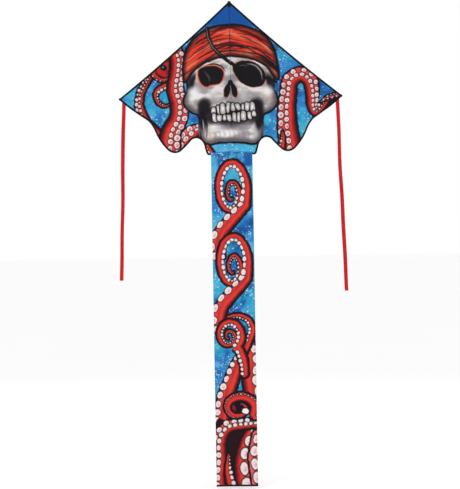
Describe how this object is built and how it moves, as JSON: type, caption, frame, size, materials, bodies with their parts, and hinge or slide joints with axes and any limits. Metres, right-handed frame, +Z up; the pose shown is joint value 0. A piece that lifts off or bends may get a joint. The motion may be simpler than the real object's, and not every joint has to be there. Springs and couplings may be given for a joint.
{
  "type": "kite",
  "caption": "Delta kite with a black-bound printed sail, soft keel, long printed tail and two red ribbon streamers on a light rod frame",
  "frame": {"origin": "centre of the tow eyelet in the keel's corner, the point the kite is flown and held by", "axes": "+Z up along the seam to the nose, +X to the right as the printed face is looked at, the printed face looks along -Y"},
  "size_m": [1.1066, 0.3964, 2.286],
  "materials": {
    "sail_print": "printed ripstop, blue ground",
    "tail_print": "printed ripstop, red and blue",
    "tail_hem": "dark folded hem",
    "black_binding": "black woven tape",
    "seam_tape": "black tape",
    "webbing": "black webbing",
    "patch": "grey patch",
    "red_ribbon": "plain red ribbon",
    "rod": "fibreglass rod",
    "end_cap": "soft cap",
    "vinyl": "soft black vinyl",
    "keel_cloth": "plain dark blue ripstop",
    "brass": "pressed eyelet"
  },
  "bodies": {
    "frame": {"spine_rod": "rod", "spine_nose_cap": "end_cap", "spine_foot_cap": "end_cap", "seam_tape": "seam_tape", "upper_spine_sleeve": "seam_tape", "lower_spine_sleeve": "seam_tape", "nose_pocket": "webbing", "foot_pocket": "webbing", "centre_joint": "vinyl", "tail_header": "tail_print"},
    "left_wing": {"left_sail": "sail_print", "left_trailing_binding": "black_binding", "left_leading_sleeve": "black_binding", "left_leading_spar": "rod", "left_spar_nose_cap": "end_cap", "left_spar_tip_cap": "end_cap", "left_spreader_fitting": "vinyl", "left_spreader_rod": "rod", "left_tip_patch": "patch", "left_streamer_tab": "red_ribbon"},
    "right_wing": {"right_sail": "sail_print", "right_trailing_binding": "black_binding", "right_leading_spar": "rod", "right_spar_nose_cap": "end_cap", "right_spar_tip_cap": "end_cap", "right_spreader_fitting": "vinyl", "right_leading_sleeve": "black_binding", "right_spreader_rod": "rod", "right_tip_patch": "patch", "right_streamer_tab": "red_ribbon"},
    "keel": {"keel_panel": "keel_cloth", "keel_binding": "black_binding", "keel_patch_right": "webbing", "keel_patch_left": "webbing", "tow_eyelet": "brass", "eyelet_washer": "brass"},
    "tail": {"tail_panel": "tail_print", "tail_hem": "tail_hem"},
    "left_streamer": {"left_streamer": "red_ribbon"},
    "right_streamer": {"right_streamer": "red_ribbon"}
  },
  "joints": [
    {"name": "left_wing_fold", "type": "hinge", "parent": "frame", "child": "left_wing", "pos_m": [0, 0.16471, -0.112], "axis": [0, 0, -1], "range_deg": [-22, 20], "stiffness_Nm_per_rad": 0.05, "deforming": ["centre_joint", "tail_header"]},
    {"name": "right_wing_fold", "type": "hinge", "parent": "frame", "child": "right_wing", "pos_m": [0, 0.16471, -0.112], "axis": [0, 0, 1], "range_deg": [-22, 20], "stiffness_Nm_per_rad": 0.05},
    {"name": "keel_swing", "type": "hinge", "parent": "frame", "child": "keel", "pos_m": [0, 0.1542, 0], "axis": [0, 0, 1], "range_deg": [-80, 80]},
    {"name": "tail_swing", "type": "hinge", "parent": "frame", "child": "tail", "pos_m": [0, 0.1718, -0.4445], "axis": [1, 0, 0], "range_deg": [-45, 85]},
    {"name": "left_streamer_swing", "type": "hinge", "parent": "left_wing", "child": "left_streamer", "pos_m": [-0.51506, 0.36439, -0.15], "axis": [0.9272, -0.3746, 0], "range_deg": [0, 40], "deforming": ["left_streamer"]},
    {"name": "right_streamer_swing", "type": "hinge", "parent": "right_wing", "child": "right_streamer", "pos_m": [0.51506, 0.36439, -0.15], "axis": [0.9272, 0.3746, 0], "range_deg": [0, 40], "deforming": ["right_streamer"]}
  ],
  "couplings": [
    {"joint": "right_wing_fold", "follows": "left_wing_fold", "ratio": 1}
  ]
}
